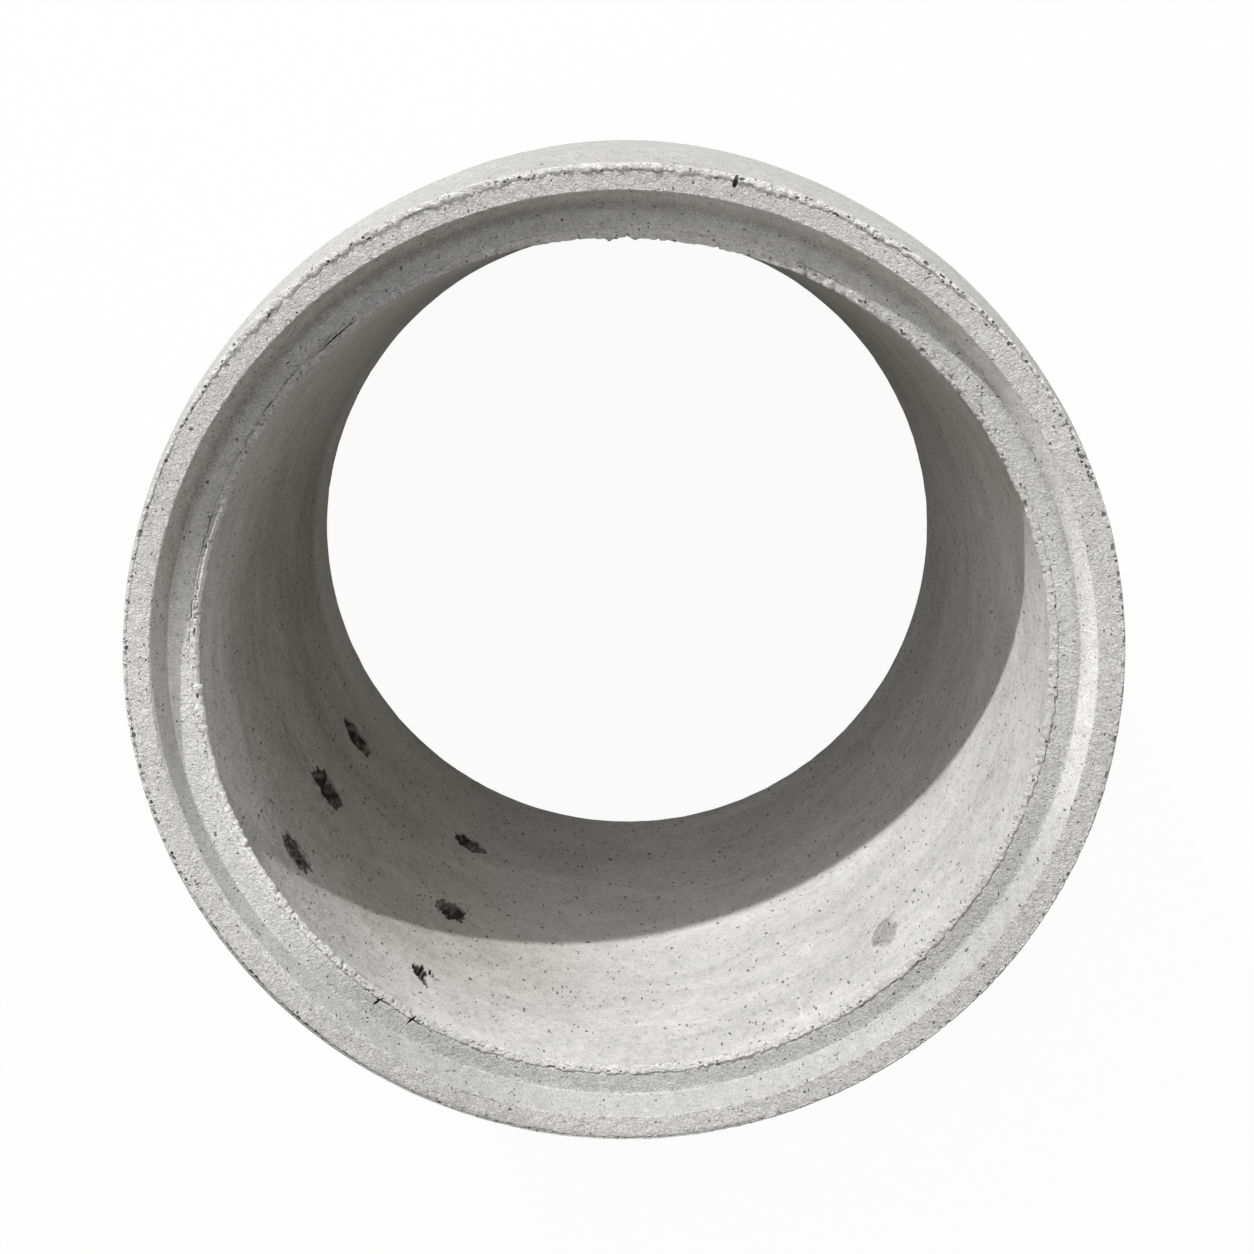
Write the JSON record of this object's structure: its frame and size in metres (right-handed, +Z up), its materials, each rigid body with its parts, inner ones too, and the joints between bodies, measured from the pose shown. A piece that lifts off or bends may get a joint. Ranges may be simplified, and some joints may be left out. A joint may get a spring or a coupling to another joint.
{
  "type": "concrete manhole ring",
  "caption": "Precast concrete manhole ring with a rebated socket end, a spigot tongue and blind step iron pockets in its bore.",
  "frame": {"origin": "on the floor, on the ring's axis, below the middle of the ring as it stands on its spigot end", "axes": "+Z up along the ring's axis to the socket end, +X to the right and +Y to the top of the socket end as the picture shows it"},
  "size_m": [1.192, 1.192, 0.933],
  "materials": {
    "concrete": "rough cast concrete with pores, flash and chips"
  },
  "bodies": {
    "root": {"manhole_ring": "concrete"}
  },
  "joints": []
}
